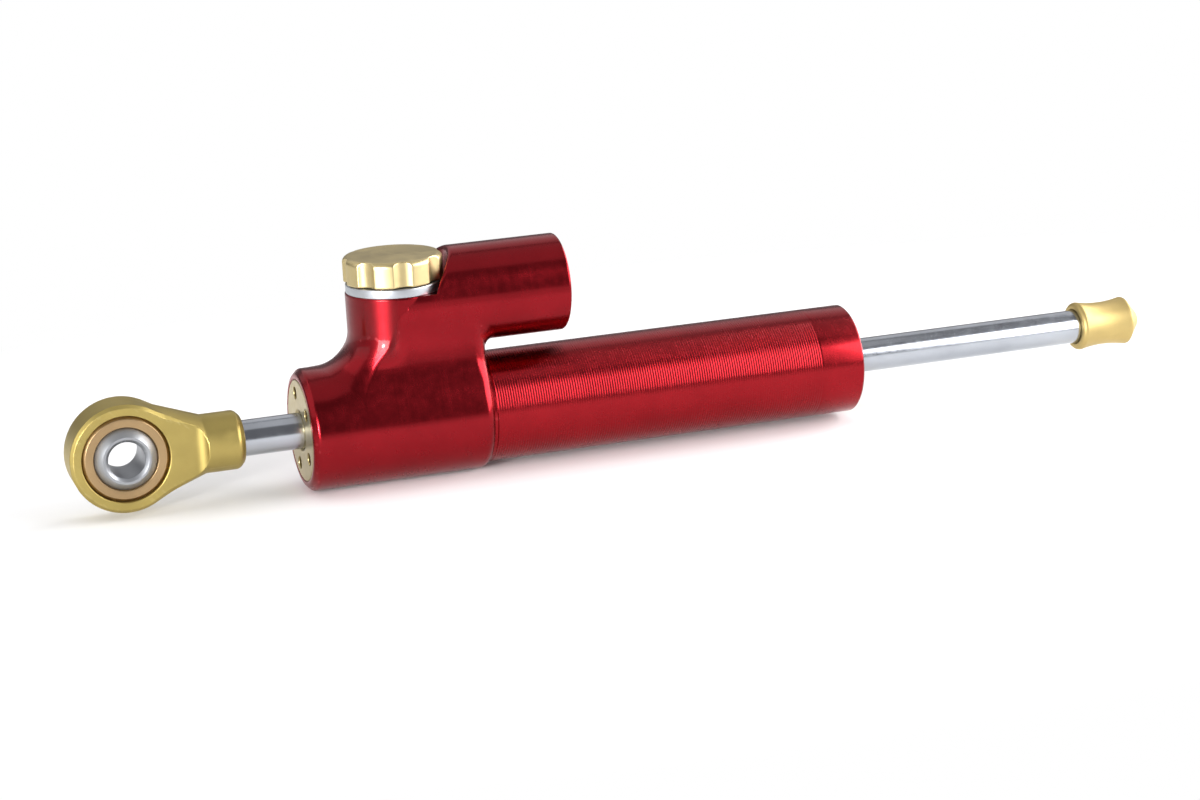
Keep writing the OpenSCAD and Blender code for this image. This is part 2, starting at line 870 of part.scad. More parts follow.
// Spindle whose foot turns graded holes over the port in the tower's floor
module valve_spindle() {
    foot_z = spindle_floor + running_gap;
    groove_z = journal_z + journal_h / 2;
    color("darkgray") from_front() on_tower() difference() {
        union() {
            translate([0, 0, foot_z]) cylinder(r = journal_r, h = foot_h);
            translate([0, 0, foot_z]) cylinder(r = stem_r, h = knob_z + stem_grip - foot_z);
            translate([0, 0, journal_z]) cylinder(r = journal_r, h = journal_h);
        }
        translate([0, 0, groove_z - spindle_groove_w / 2]) difference() {
            cylinder(r = journal_r + past, h = spindle_groove_w);
            cylinder(r = journal_r - spindle_groove_depth, h = spindle_groove_w);
        }
        for (i = [0 : click_count - 1])
            let (grade = i / (click_count - 1))
            rotate(180 + click_angle * (i - (click_count - 1) / 2)) translate([port_r, 0, foot_z - past])
                cylinder(d = least_hole + (largest_hole - least_hole) * grade, h = foot_h + 2 * past);
    }
}

module spindle_oring() {
    color("dimgray") from_front() on_tower(journal_z + journal_h / 2)
        seal_ring(journal_r - spindle_groove_depth, journal_r + running_gap);
}

// Places a piece on the reservoir's axis
module in_reservoir(x) {
    along_x(x, reservoir_z) children();
}

// Floating piston or plug with a groove for its sealing ring
module grooved_disc(length) {
    wall = reservoir_bore / 2;
    difference() {
        cylinder(r = wall - running_gap, h = length);
        translate([0, 0, (length - float_groove_w) / 2]) difference() {
            cylinder(r = wall + past, h = float_groove_w);
            cylinder(r = wall - float_groove_depth, h = float_groove_w);
        }
    }
}

module reservoir_ring(x) {
    in_reservoir(x) seal_ring(reservoir_bore / 2 - float_groove_depth, reservoir_bore / 2);
}

module reservoir_piston() {
    color("gainsboro") from_front() in_reservoir(float_x) grooved_disc(float_len);
}

module reservoir_piston_oring() {
    color("dimgray") from_front() reservoir_ring(float_x + float_len / 2);
}

module reservoir_spring() {
    start = float_x + float_len + fit_gap;
    height = plug_x - fit_gap - start;
    color("gray") from_front() in_reservoir(start) coil(spring_r, height, spring_turns, spring_wire);
}

module reservoir_plug() {
    color("khaki") from_front() in_reservoir(plug_x) difference() {
        grooved_disc(plug_len);
        translate([0, 0, plug_len - puller_depth]) cylinder(d = puller_d, h = puller_depth + past);
    }
}

module reservoir_plug_oring() {
    color("dimgray") from_front() reservoir_ring(plug_x + plug_len / 2);
}

module reservoir_clip() {
    outer = reservoir_bore / 2 + lock_depth - fit_gap;
    inner = reservoir_bore / 2 - lock_rise;
    color("slategray") from_front() difference() {
        ring(lock_x + fit_gap, lock_w - 2 * fit_gap, outer, inner, reservoir_z);
        translate([lock_x - past, -clip_opening / 2, reservoir_z - outer - past])
            cube([lock_w + 2 * past, clip_opening, outer + past]);
    }
}

body();
front_gland();
front_gland_oring();
front_bush();
front_rod_seal();
rear_gland();
rear_gland_oring();
rear_bush();
rear_rod_seal();
inner_cylinder();
rod();
piston();
piston_ring();
piston_clips();
rod_end();
bearing_race();
bearing_ball();
rod_cap();
knob();
detent_plate();
detent_ball();
detent_spring();
valve_spindle();
spindle_oring();
reservoir_piston();
reservoir_piston_oring();
reservoir_spring();
reservoir_plug();
reservoir_plug_oring();
reservoir_clip();
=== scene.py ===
"""Looks of the steering damper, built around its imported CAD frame.

Sizes are millimetres in the part's own frame and become metres in the meshes.
Milled pieces are skinned from distance fields, turned ones are lathed from profiles.
"""

import json
import math

import bpy
import numpy as np
from mathutils import Matrix, Vector


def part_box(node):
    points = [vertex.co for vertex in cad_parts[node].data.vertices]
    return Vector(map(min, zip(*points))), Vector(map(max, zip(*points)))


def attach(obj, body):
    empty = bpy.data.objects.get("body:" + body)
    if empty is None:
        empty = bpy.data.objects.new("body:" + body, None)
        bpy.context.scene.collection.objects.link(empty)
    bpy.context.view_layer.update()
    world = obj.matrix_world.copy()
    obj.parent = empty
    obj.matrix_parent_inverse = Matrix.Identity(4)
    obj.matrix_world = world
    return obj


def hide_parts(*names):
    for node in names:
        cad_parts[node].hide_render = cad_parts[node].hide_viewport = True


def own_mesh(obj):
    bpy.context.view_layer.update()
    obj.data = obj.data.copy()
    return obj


MM = 0.001
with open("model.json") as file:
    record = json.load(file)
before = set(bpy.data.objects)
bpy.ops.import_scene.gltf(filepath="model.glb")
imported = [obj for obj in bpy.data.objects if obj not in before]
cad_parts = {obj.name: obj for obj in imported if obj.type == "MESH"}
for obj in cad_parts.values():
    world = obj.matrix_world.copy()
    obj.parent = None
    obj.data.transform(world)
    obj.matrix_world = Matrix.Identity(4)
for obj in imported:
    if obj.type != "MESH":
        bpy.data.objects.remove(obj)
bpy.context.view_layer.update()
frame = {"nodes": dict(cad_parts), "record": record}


def span(node):
    """Lowest and highest corner of a CAD node in millimetres."""
    return [np.array(corner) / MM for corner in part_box(node)]


def middle(node):
    return sum(span(node)) / 2


# Places and sizes that the frame gives
FRONT, REAR = span("body")[0][0], span("body")[1][0]
HEAD_R = -span("body")[0][2]
TOWER_X = middle("detent_plate")[0]
PLATE_TOP = span("detent_plate")[1][2]
PLATE_R = np.ptp([c[1] for c in span("detent_plate")]) / 2
KNOB_LOW, KNOB_TOP = span("knob")[0][2], span("knob")[1][2]
RESERVOIR_Z = middle("reservoir_plug")[2]
EYE_X = middle("bearing_race")[0]
EYE_R = span("rod_end")[1][2]
SHANK_FACE = span("rod_end")[1][0]
RACE_R, RACE_W = span("bearing_race")[1][2], np.ptp([c[1] for c in span("bearing_race")])
BALL_R, BALL_W = span("bearing_ball")[1][2], np.ptp([c[1] for c in span("bearing_ball")])
ROD_START, ROD_STOP = span("rod")[0][0], span("rod")[1][0]
ROD_R = span("rod")[1][2]
CAP_X, CAP_END = span("rod_cap")[0][0], span("rod_cap")[1][0]
CAP_R = span("rod_cap")[1][2]

# Body: lengths run back from the front face
HEAD_LEN = 41.4
HEAD_CHAMFER = 1.3
BACK_ROUND = 2.3
WEB_ROUND = 3.5
WEB_FROM = 8
WEB_RISE = 6
TUBE_R = 12.5
TUBE_BORE_R = 10.5
TUBE_CHAMFER = 0.4
GROOVE_PITCH = 0.58
GROOVE_DEPTH = 0.07
PLAIN_BAND = 10.2
TOWER_R = 10.9
PLATE_H = 2
TOWER_TOP = PLATE_TOP - PLATE_H
FOOT_FILLET = 7
FOOT_SPREAD = 2
FOOT_FADE = 11
SHOULDER_ROUND = 6
SIDE_HOLLOW = 25
SIDE_EDGE = 0.5
EDGE_FROM = 9
EDGE_RISE = 6
SIDE_EASE = 0.9
SIDE_EASE_LEN = 5
RESERVOIR_R = 10.92
RESERVOIR_LEN = 61
RESERVOIR_EDGE = 0.5
RESERVOIR_BORE_R = 8.5
RESERVOIR_FLOOR = 37
SLOT_FILLET = 3
RECESS_R = 11.9
RECESS_ROUND = 1.3
RELIEF_W = 0.4
RELIEF_DEPTH = 0.2
GLAND_R = 11.3
GLAND_LEN = 17
FLANGE_LEN = 5
GLAND_HOLES = 5
GLAND_HOLE_R = 1.4
GLAND_HOLE_AT = 8.35
GLAND_HOLE_DEPTH = 2
ROD_CLEARANCE = 0.2
EDGE = 0.3
TOWER = TOWER_X - FRONT

# Centre of the hollow in a side, which touches the head and the reservoir
HOLLOW_UP = HEAD_R + SIDE_HOLLOW
HOLLOW_Z = (HOLLOW_UP**2 - (RESERVOIR_R + SIDE_HOLLOW) ** 2 + RESERVOIR_Z**2) / (2 * RESERVOIR_Z)
HOLLOW_Y = math.sqrt(HOLLOW_UP**2 - HOLLOW_Z**2)

# Knob, rod end and cap
KNOB_R = 11
KNOB_LOBES = 8
KNOB_TURN = 19.5
SCALLOP_DEPTH = 0.9
SCALLOP_R = 3.4
KNOB_ROUND = 1.2
SPINDLE_BORE_R = 3.02
SPINDLE_BORE_DEPTH = 3.42
PLATE_BORE_R = 3.03
PLATE_BOSS_R = 7
EYE_W = 9.5
EYE_CHAMFER = 0.7
SHANK_R = 6.5
SHANK_LEN = 8.6
SHANK_CHAMFER = 1.3
FLAT_ROUND = 3
NECK_FILLET = 8
RACE_CHAMFER = 0.7
BALL_BORE_R = 4
BALL_CHAMFER = 0.7
CAP_WAIST_R = 5.1
CAP_SHOULDER = 13.2
CAP_RIM = 1.1
CAP_DOME = 3.4
CAP_BORE_DEPTH = 11


# Distance fields: negative inside, in millimetres


def round_and(a, b, r):
    """Intersection whose edge is rounded to radius r."""
    return np.minimum(np.maximum(a, b), -r) + np.hypot(np.maximum(a + r, 0), np.maximum(b + r, 0))


def cut(a, b, r=EDGE):
    """What b leaves of a."""
    return round_and(a, -b, r)


def fillet(a, b, r, cos):
    """Union with a rolling-ball fillet, where cos is that of the angle between the two normals."""
    sin2 = np.maximum(1 - cos * cos, 1e-3)
    p, q = r - a, r - b
    inside = (p > cos * q) & (q > cos * p) & (sin2 > 2e-3)
    reach = np.sqrt(np.maximum(p * p + q * q - 2 * cos * p * q, 0) / sin2)
    return np.where(inside, np.minimum(r - reach, np.minimum(a, b)), np.minimum(a, b))


def smooth(t):
    """Rises from 0 to 1 as t does, flat at both ends."""
    t = np.clip(t, 0, 1)
    return t * t * (3 - 2 * t)


def chamfered(a, b, c):
    """Intersection whose edge is chamfered by c."""
    return np.maximum(np.maximum(a, b), (a + b + c) / math.sqrt(2))


def housing_field(x, y, z):
    """Head, tower, web and reservoir of the body, without its tube."""
    x, y = x - FRONT, np.abs(y)
    out, axis = np.hypot(y, z), np.hypot(y, z - RESERVOIR_Z)
    head = round_and(out - HEAD_R, (out - x - HEAD_R + HEAD_CHAMFER) / math.sqrt(2), EDGE)
    head = round_and(head, -x, EDGE)

    # The side's hollow runs between the lines where it touches the head and the reservoir
    dy, dz = HOLLOW_Y - y, HOLLOW_Z - z
    reach = np.hypot(dy, dz)
    hollow = SIDE_HOLLOW - reach
    low = z * HOLLOW_Y < y * HOLLOW_Z
    high = (RESERVOIR_Z - z) * HOLLOW_Y < y * (RESERVOIR_Z - HOLLOW_Z)
    # It is eased in front of the tower's axis, so that the tower stays round there
    lead, lift = smooth((TOWER - x) / SIDE_EASE_LEN), smooth((z - HEAD_R) / SIDE_EASE_LEN)
    eased = hollow - SIDE_EASE * lead * lift
    side_cut = np.where(low, -SIDE_HOLLOW, eased)
    side_edge = SIDE_EDGE * np.clip((z - EDGE_FROM) / EDGE_RISE, 0.01, 1)

    # Round the tower's foot the hollow sides carry on and fade into the head
    plan = np.maximum(np.hypot(np.minimum(x - TOWER, 0), y), 1e-6)
    near = smooth(1 - (plan - TOWER_R) / FOOT_FADE)
    shoulder = np.where(low, head, np.minimum(head, round_and(eased, z - HEAD_R, SHOULDER_ROUND)))
    ground = head + near * (shoulder - head)
    lean = (1 - near) * y * y / np.maximum(plan * out, 1e-6)
    foot = fillet(ground, plan - TOWER_R, FOOT_FILLET + FOOT_SPREAD * (y / plan) ** 2, lean)
    foot = np.maximum(round_and(foot, side_cut, side_edge), x - TOWER)
    web = np.where(high, SIDE_HOLLOW, np.maximum(hollow, TOWER - EDGE - x))
    lower = np.where(low, head, np.minimum(head, np.minimum(foot, web)))
    lower = np.maximum(lower, z - RESERVOIR_Z)
    back_round = BACK_ROUND + (WEB_ROUND - BACK_ROUND) * smooth((z - WEB_FROM) / WEB_RISE)
    lower = round_and(lower, x - HEAD_LEN, back_round)

    barrel = round_and(axis - RESERVOIR_R, x - RESERVOIR_LEN, RESERVOIR_EDGE)
    barrel = np.maximum(barrel, TOWER - x)
    recessed = round_and(barrel, RECESS_R - np.hypot(x - TOWER, y), RECESS_ROUND)
    barrel = np.minimum(recessed, np.maximum(barrel, z - TOWER_TOP))
    side = np.maximum(hollow + WEB_ROUND, 0)
    back = np.maximum(x - HEAD_LEN + WEB_ROUND, 0)
    lean = (dy * y + dz * (z - RESERVOIR_Z)) / np.maximum(reach * axis, 1e-6)
    shape = fillet(lower, barrel, SLOT_FILLET, side / np.maximum(np.hypot(side, back), 1e-6) * lean)
    tower = round_and(np.hypot(x - TOWER, y) - TOWER_R, side_cut, side_edge)
    shape = np.minimum(shape, round_and(np.maximum(tower, -z), z - TOWER_TOP, EDGE))

    shape = cut(shape, np.maximum(out - GLAND_R, x - FLANGE_LEN))
    shape = np.maximum(shape, TUBE_BORE_R - out)
    return cut(shape, np.maximum(axis - RESERVOIR_BORE_R, RESERVOIR_FLOOR - x))


def gland_field(x, y, z):
    """Screwed-in end with pin-spanner holes, its face at x = 0."""
    out = np.hypot(y, z)
    flange = round_and(out - GLAND_R, -x, EDGE)
    shape = np.maximum(flange, x - FLANGE_LEN)
    shape = np.minimum(shape, np.maximum(out - TUBE_BORE_R, np.maximum(-x, x - GLAND_LEN)))
    shape = cut(shape, out - ROD_R - ROD_CLEARANCE - np.maximum(0.5 - x, 0))
    step = 2 * math.pi / GLAND_HOLES
    turn = np.mod(np.arctan2(z, y) + step / 2, step) - step / 2
    hole = np.hypot(out * np.cos(turn) - GLAND_HOLE_AT, out * np.sin(turn)) - GLAND_HOLE_R
    return cut(shape, np.maximum(hole, x - GLAND_HOLE_DEPTH), 0.15)


def knob_field(x, y, z):
    """Lobed knob on the tower's axis."""
    x = x - TOWER_X
    out = np.hypot(x, y)
    step = 2 * math.pi / KNOB_LOBES
    turn = np.arctan2(y, x) - math.radians(KNOB_TURN)
    turn = np.mod(turn, step) - step / 2
    at = KNOB_R - SCALLOP_DEPTH + SCALLOP_R
    scallop = np.hypot(out * np.cos(turn) - at, out * np.sin(turn)) - SCALLOP_R
    disc = round_and(out - KNOB_R, z - KNOB_TOP, KNOB_ROUND)
    shape = cut(disc, scallop, 0.2)
    shape = round_and(shape, KNOB_LOW - z, 0.35)
    bore = np.maximum(out - SPINDLE_BORE_R, z - KNOB_LOW - SPINDLE_BORE_DEPTH)
    return np.maximum(shape, -bore)


def rod_end_field(x, y, z):
    """Disc of the eye with a turned neck and shank, milled flat from the eye on."""
    x, y, out = x - EYE_X, np.abs(y), np.hypot(y, z)
    arm = SHANK_FACE - EYE_X
    shank_x = arm - SHANK_LEN
    tilt = math.acos(EYE_R / math.hypot(shank_x, SHANK_R)) + math.atan2(SHANK_R, shank_x)
    cone = x * math.cos(tilt) + out * math.sin(tilt) - EYE_R + 0.02
    neck = fillet(cone, out - SHANK_R, 1.5, math.sin(tilt))
    neck = np.maximum(neck, EYE_R * math.cos(tilt) - x)
    neck = round_and(neck, (x + out - arm - SHANK_R + SHANK_CHAMFER) / math.sqrt(2), 0.4)
    neck = round_and(neck, x - arm, 0.3)
    flat_x = shank_x - math.sqrt(FLAT_ROUND**2 - (FLAT_ROUND - SHANK_R + EYE_W / 2) ** 2) + 0.3
    cutter = np.minimum(
        np.maximum(EYE_W / 2 - y, x - flat_x),
        np.hypot(x - flat_x, y - EYE_W / 2 - FLAT_ROUND) - FLAT_ROUND,
    )
    ring = np.maximum(np.hypot(x, z), 1e-6)
    lean = (x * math.cos(tilt) + z * z / np.maximum(out, 1e-6) * math.sin(tilt)) / ring
    shape = fillet(ring - EYE_R, neck, NECK_FILLET, np.clip(lean, -0.99, 0.99))
    wide = EYE_CHAMFER * np.clip((flat_x - x) / 6, 0.15, 1)
    shape = chamfered(shape, -cutter, wide)
    shape = cut(shape, ring - RACE_R - 0.05, 0.25)
    return cut(shape, np.maximum(out - ROD_R - 0.03, ROD_START - EYE_X - x), 0.2)


def new_piece(name, points, faces, normals=None):
    """Mesh object of points in millimetres."""
    mesh = bpy.data.meshes.new(name)
    mesh.from_pydata((np.asarray(points) * MM).tolist(), [], np.asarray(faces).tolist())
    mesh.polygons.foreach_set("use_smooth", [True] * len(mesh.polygons))
    if normals is not None:
        mesh.normals_split_custom_set_from_vertices(normals.tolist())
    piece = bpy.data.objects.new(name, mesh)
    bpy.context.scene.collection.objects.link(piece)
    return piece


def skin(name, field, low, high, cell):
    """Closed quad mesh of a distance field's zero surface, with the field's own normals."""
    axes = [np.arange(a - cell, b + 2 * cell, cell) for a, b in zip(low, high)]
    inside = field(*np.meshgrid(*axes, indexing="ij", sparse=True)) < 0
    shape = [n - 1 for n in inside.shape]
    corners = [
        inside[i : i + shape[0], j : j + shape[1], k : k + shape[2]]
        for i in (0, 1) for j in (0, 1) for k in (0, 1)
    ]
    crossed = np.logical_or.reduce(corners) & ~np.logical_and.reduce(corners)
    index = np.full(shape, -1)
    index[crossed] = np.arange(crossed.sum())
    cells = np.argwhere(crossed)
    points = np.stack([axes[i][cells[:, i]] + cell / 2 for i in range(3)], 1)

    def slope(p):
        steps = np.eye(3) * cell * 0.02
        return np.stack([field(*(p + s).T) - field(*(p - s).T) for s in steps], 1) / (cell * 0.04)

    centre = points.copy()
    for _ in range(8):
        g = slope(points)
        points -= (field(*points.T) / np.maximum((g * g).sum(1), 0.05))[:, None] * g * 0.8
        points = np.clip(points, centre - 0.75 * cell, centre + 0.75 * cell)

    faces = []
    for axis in range(3):
        u, v = (axis + 1) % 3, (axis + 2) % 3
        grid = np.moveaxis(inside, (axis, u, v), (0, 1, 2))[:, 1:-1, 1:-1]
        cell_of = np.moveaxis(index, (axis, u, v), (0, 1, 2))
        i, j, k = np.nonzero(grid[:-1] != grid[1:])
        around = ((0, 0), (1, 0), (1, 1), (0, 1))
        ring = np.stack([cell_of[i, j + a, k + b] for a, b in around], 1)
        leaving = grid[:-1][i, j, k]
        faces.append(np.where(leaving[:, None], ring, ring[:, ::-1]))
    normals = slope(points)
    normals /= np.maximum(np.linalg.norm(normals, axis=1), 1e-9)[:, None]
    return new_piece(name, points, np.concatenate(faces), normals)


def lathe(name, profile, centre=(0, 0, 0), axis="X", segments=160):
    """Closed ring of revolution: profile points are (along the axis, radius)."""
    profile = np.asarray(profile, float)
    turn = 2 * np.pi * np.arange(segments) / segments
    along = np.repeat(profile[None, :, 0], segments, 0)
    c = profile[None, :, 1] * np.cos(turn)[:, None]
    s = profile[None, :, 1] * np.sin(turn)[:, None]
    order = {"X": (along, c, s), "Y": (s, along, c), "Z": (c, s, along)}[axis]
    points = np.stack(order, -1).reshape(-1, 3) + np.asarray(centre)
    count = len(profile)
    i, k = np.meshgrid(np.arange(segments), np.arange(count), indexing="ij")
    n, m = (i + 1) % segments, (k + 1) % count
    corners = ((i, k), (n, k), (n, m), (i, m))
    faces = np.stack([a * count + b for a, b in corners], -1).reshape(-1, 4)
    x, r = profile.T
    area = np.sum(x * np.roll(r, -1) - r * np.roll(x, -1))
    if area < 0:
        faces = faces[:, ::-1]
    piece = new_piece(name, points, faces)
    piece.data.set_sharp_from_angle(angle=math.radians(35))
    return piece


def rounded(points, steps=5):
    """Profile whose corners (along, radius, corner radius) are turned into arcs."""
    out = []
    for i, (x, y, r) in enumerate(points):
        here = np.array([x, y])
        before = np.array(points[i - 1][:2]) - here
        after = np.array(points[(i + 1) % len(points)][:2]) - here
        if r == 0:
            out.append(here)
            continue
        before, after = before / np.linalg.norm(before), after / np.linalg.norm(after)
        half = math.acos(np.clip(before @ after, -1, 1)) / 2
        bisector = (before + after) / np.linalg.norm(before + after)
        centre = here + bisector * r / math.sin(half)
        start = here + before * r / math.tan(half) - centre
        stop = here + after * r / math.tan(half) - centre
        for t in np.linspace(0, 1, steps + 1):
            ray = start * (1 - t) + stop * t
            out.append(centre + ray / np.linalg.norm(ray) * r)
    return out


# Materials


class Graph:
    """A material's node tree, built call by call."""

    def __init__(self, name, **shader):
        self.material = bpy.data.materials.new(name)
        self.material.use_nodes = True
        self.tree = self.material.node_tree
        self.shader = self.tree.nodes["Principled BSDF"]
        self.set(self.shader, shader)

    def set(self, node, inputs):
        for key, value in inputs.items():
            socket = node.inputs[key.replace("_", " ") if isinstance(key, str) else key]
            if isinstance(value, bpy.types.NodeSocket):
                self.tree.links.new(value, socket)
            else:
                socket.default_value = value

    def add(self, kind, inputs=None, output=0, **settings):
        node = self.tree.nodes.new("ShaderNode" + kind)
        for key, value in settings.items():
            setattr(node, key, value)
        self.set(node, inputs or {})
        return node.outputs[output]

    def place(self, scale=(1, 1, 1)):
        """Millimetres in the part's frame, scaled along each axis."""
        where = self.add("TexCoord", output="Object")
        return self.add("Mapping", {"Vector": where, "Scale": [s / MM for s in scale]})

    def math(self, operation, a, b=0.0, clamp=False):
        return self.add("Math", {0: a, 1: b}, operation=operation, use_clamp=clamp)

    def noise(self, scale, size=(1, 1, 1), detail=3.0):
        """Noise from 0 to 1 whose grain is about 1 / scale millimetres, stretched by size."""
        vector = self.place([1 / s for s in size])
        return self.add("TexNoise", {"Vector": vector, "Scale": scale, "Detail": detail})

    def ramp(self, value, low, high, start=0.0, stop=1.0, kind="LINEAR"):
        """Value remapped from start..stop to low..high."""
        return self.add(
            "MapRange",
            {"Value": value, "From Min": start, "From Max": stop, "To Min": low, "To Max": high},
            interpolation_type=kind,
        )

    def mix(self, factor, a, b):
        return self.add("Mix", {0: factor, 6: a, 7: b}, output=2, data_type="RGBA")

    def bump(self, height, distance, strength=1.0, normal=None):
        inputs = {"Height": height, "Distance": distance * MM, "Strength": strength}
        if normal is not None:
            inputs["Normal"] = normal
        return self.add("Bump", inputs)

    def edges(self, low=0.54, high=0.62):
        """One where the surface is a convex edge."""
        pointed = self.add("NewGeometry", output="Pointiness")
        return self.ramp(pointed, 0.0, 1.0, low, high)


def rgba(r, g, b):
    return (r, g, b, 1)


def turned_tower(g, roughness, pull):
    """Gives the tower's front the marks of a cut round its own axis."""
    where = g.add("TexCoord", output="Object")
    arm = g.add("VectorMath", {0: where, 1: (TOWER_X * MM, 0, 0)}, operation="SUBTRACT")
    round_tower = g.add("VectorMath", {0: (0, 0, 1), 1: arm}, operation="CROSS_PRODUCT")
    split = g.tree.nodes.new("ShaderNodeSeparateXYZ")
    g.set(split, {0: g.place()})
    front = g.ramp(split.outputs[0], 0.0, 1.0, TOWER_X - 1.5, TOWER_X - 4, "SMOOTHSTEP")
    high = g.ramp(split.outputs[2], 0.0, 1.0, 15, 19, "SMOOTHSTEP")
    tower = g.tree.nodes.new("ShaderNodeBsdfPrincipled")
    for key in ("Base Color", "Normal"):
        g.set(tower, {key: g.shader.inputs[key].links[0].from_socket})
    rough = g.math("ADD", g.shader.inputs["Roughness"].links[0].from_socket, roughness, clamp=True)
    g.set(tower, {"Metallic": 1.0, "Roughness": rough, "Tangent": round_tower})
    g.set(tower, {"Coat Weight": 0.3, "Coat Roughness": 0.1})
    g.set(tower, {"Anisotropic": pull, "Anisotropic Rotation": 0.25})
    where = g.math("MULTIPLY", front, high)
    blend = g.add("MixShader", {0: where, 1: g.shader.outputs[0], 2: tower.outputs[0]})
    g.tree.links.new(blend, g.tree.nodes["Material Output"].inputs["Surface"])


def metal(name, colour, edge_wear_and_highlight, roughness, grain, size, coat=0.0, brushed=None, tower=None):
    """Metal with clouded colour, edges lightened as wear and as painted highlight, and a fine grain
    along the marks of its cutting.

    The grain has about grain lines a millimetre and is drawn out by size along each axis;
    brushed is the axis that the cutting ran round and how far the shine is drawn out across it.
    """
    g = Graph(name, Metallic=1.0, Coat_Weight=coat, Coat_Roughness=0.07)
    cloud = g.noise(0.12, detail=4.0)
    dark = rgba(*[c * 0.9 for c in colour])
    light = rgba(*[min(c * 1.07, 1) for c in colour])
    tone = g.mix(g.ramp(cloud, 0.0, 1.0, 0.3, 0.7), dark, light)
    # Convex edges take a lighter colour in patches: partly edge wear, partly a painted edge
    # highlight
    wear_and_edge_highlight = g.math("MULTIPLY", g.edges(), g.ramp(g.noise(0.8), 0.15, 0.6, 0.35, 0.65))
    tone = g.mix(wear_and_edge_highlight, tone, rgba(*edge_wear_and_highlight))
    fine = g.noise(grain, size, detail=2.0)
    rough = g.math("ADD", g.ramp(g.noise(0.5), -0.03, 0.03, 0.3, 0.7), g.ramp(fine, -0.03, 0.03))
    rough = g.math("ADD", rough, roughness, clamp=True)
    g.set(g.shader, {"Base Color": tone, "Roughness": rough, "Normal": g.bump(fine, 0.0006)})
    if brushed:
        axis, pull = brushed
        g.set(g.shader, {"Anisotropic": pull, "Anisotropic Rotation": 0.25})
        g.set(g.shader, {"Tangent": g.add("Tangent", direction_type="RADIAL", axis=axis)})
    if tower:
        turned_tower(g, *tower)
    return g.material


# Lighter red for the edges: partly wear, partly a painted edge highlight
RED_EDGE_WEAR_AND_HIGHLIGHT = (0.5, 0.06, 0.07)
red_milled = metal(
    "red_milled", (0.25, 0.009, 0.014), RED_EDGE_WEAR_AND_HIGHLIGHT, 0.25, 1.2, (0.6, 90, 90),
    coat=0.08, brushed=("X", 0.3), tower=(0.2, 0.8),
)
red_turned = metal(
    "red_turned", (0.28, 0.011, 0.016), RED_EDGE_WEAR_AND_HIGHLIGHT, 0.26, 1.2, (0.5, 90, 90),
    coat=0.05, brushed=("X", 0.7),
)
champagne = metal(
    "champagne", (0.58, 0.47, 0.24), (0.7, 0.6, 0.36), 0.38, 3.0, (6, 6, 0.35),
    brushed=("Z", 0.25),
)
# Darker copy of the champagne finish for the glands: painted shade on their faces
gland_gold_painted_shade = metal("gland_gold_painted_shade", (0.44, 0.36, 0.18), (0.66, 0.56, 0.32), 0.32, 3.0, (0.4, 3, 3))
eye_gold = metal("eye_gold", (0.4, 0.31, 0.1), (0.47, 0.38, 0.15), 0.45, 5.0, (1, 1, 1))
cap_gold = metal("cap_gold", (0.49, 0.37, 0.15), (0.62, 0.48, 0.22), 0.5, 6.0, (1, 1, 1))
silver = metal("silver", (0.46, 0.48, 0.51), (0.8, 0.8, 0.8), 0.36, 3.0, (6, 6, 0.35))
chrome = metal("chrome", (0.43, 0.45, 0.49), (0.7, 0.72, 0.75), 0.2, 2.0, (6, 0.6, 0.6))
steel = metal("steel", (0.36, 0.37, 0.39), (0.5, 0.5, 0.52), 0.42, 3.0, (5, 0.4, 5))
spring_wire = metal("spring_wire", (0.32, 0.33, 0.35), (0.5, 0.5, 0.5), 0.35, 4.0, (1, 1, 1))
bronze = metal("bronze", (0.4, 0.27, 0.14), (0.7, 0.56, 0.34), 0.34, 3.0, (4, 0.4, 4))
bare = metal("bare", (0.66, 0.67, 0.68), (0.8, 0.8, 0.8), 0.35, 3.0, (0.4, 4, 4))


def soft(name, colour, roughness):
    """Rubber or plastic: fine pitted skin with dusty patches."""
    g = Graph(name)
    dust = g.ramp(g.noise(0.4), 0.0, 0.35, 0.4, 0.75)
    tone = g.mix(dust, rgba(*colour), rgba(*[c + 0.04 for c in colour]))
    rough = g.ramp(g.noise(1.5), roughness - 0.08, roughness + 0.08)
    normal = g.bump(g.noise(8.0), 0.01)
    g.set(g.shader, {"Base Color": tone, "Roughness": rough, "Normal": normal})
    return g.material


rubber = soft("rubber", (0.018, 0.018, 0.02), 0.6)
polymer = soft("polymer", (0.25, 0.13, 0.06), 0.5)


def dress(piece, material, body=None, slot=None, *nodes):
    """Gives a piece its material, and a new piece its body, and hides the CAD nodes it stands for.
    The slot is not used.
    """
    piece.data.materials.clear()
    piece.data.materials.append(material)
    if body:
        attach(piece, body)
        if nodes:
            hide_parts(*nodes)
    return piece


# The body in two pieces: a milled housing and a turned tube

housing = skin(
    "housing",
    housing_field,
    (FRONT, -HEAD_R, -HEAD_R),
    (FRONT + RESERVOIR_LEN, HEAD_R, RESERVOIR_Z + RESERVOIR_R),
    0.25,
)
dress(housing, red_milled, "barrel", "red_anodised", "body")


